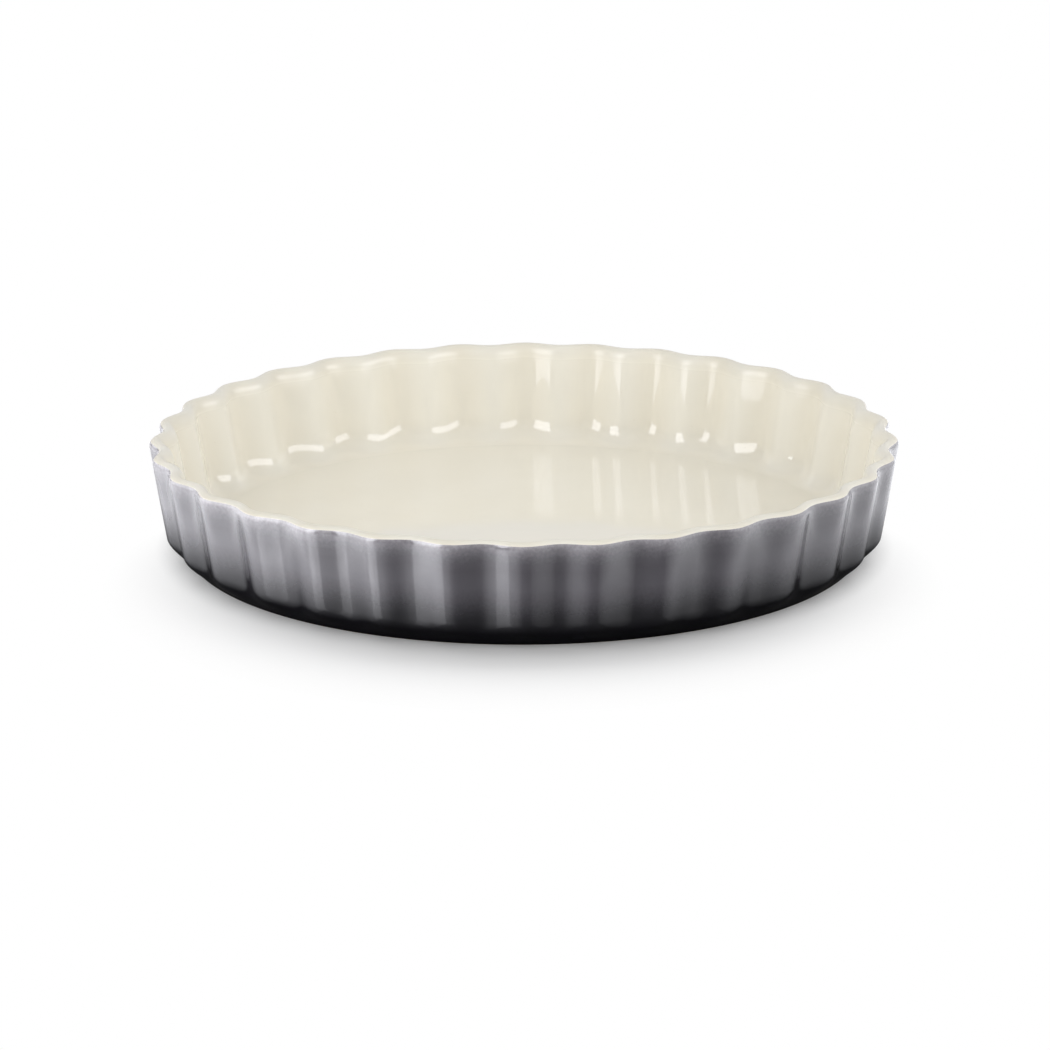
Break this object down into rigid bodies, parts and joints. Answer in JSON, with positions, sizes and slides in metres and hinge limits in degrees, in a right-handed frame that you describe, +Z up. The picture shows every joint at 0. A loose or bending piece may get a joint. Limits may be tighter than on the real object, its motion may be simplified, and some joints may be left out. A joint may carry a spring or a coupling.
{
  "type": "fluted flan dish",
  "caption": "Round stoneware flan dish with an upright fluted wall, flat baking floor, rounded rim and bare foot ring, cream glazed inside and graded grey outside.",
  "frame": {"origin": "centre of the circle that the foot ring stands on, at table level", "axes": "+Z up along the axis of the dish, +X and -Y each through a flute crest; the picture looks along +Y"},
  "size_m": [0.28, 0.28, 0.042],
  "materials": {
    "bare_stoneware": "unglazed fired stoneware, pale buff and slightly sandy",
    "cream_glaze": "smooth glossy cream glaze",
    "graded_grey_glaze": "smooth glossy glaze graded from pale grey at the rim to near black at the foot",
    "dark_grey_glaze": "smooth glossy near-black glaze"
  },
  "bodies": {
    "root": {"stoneware_body": "bare_stoneware", "interior_glaze": "cream_glaze", "exterior_glaze": "graded_grey_glaze", "base_glaze": "dark_grey_glaze"}
  },
  "joints": []
}
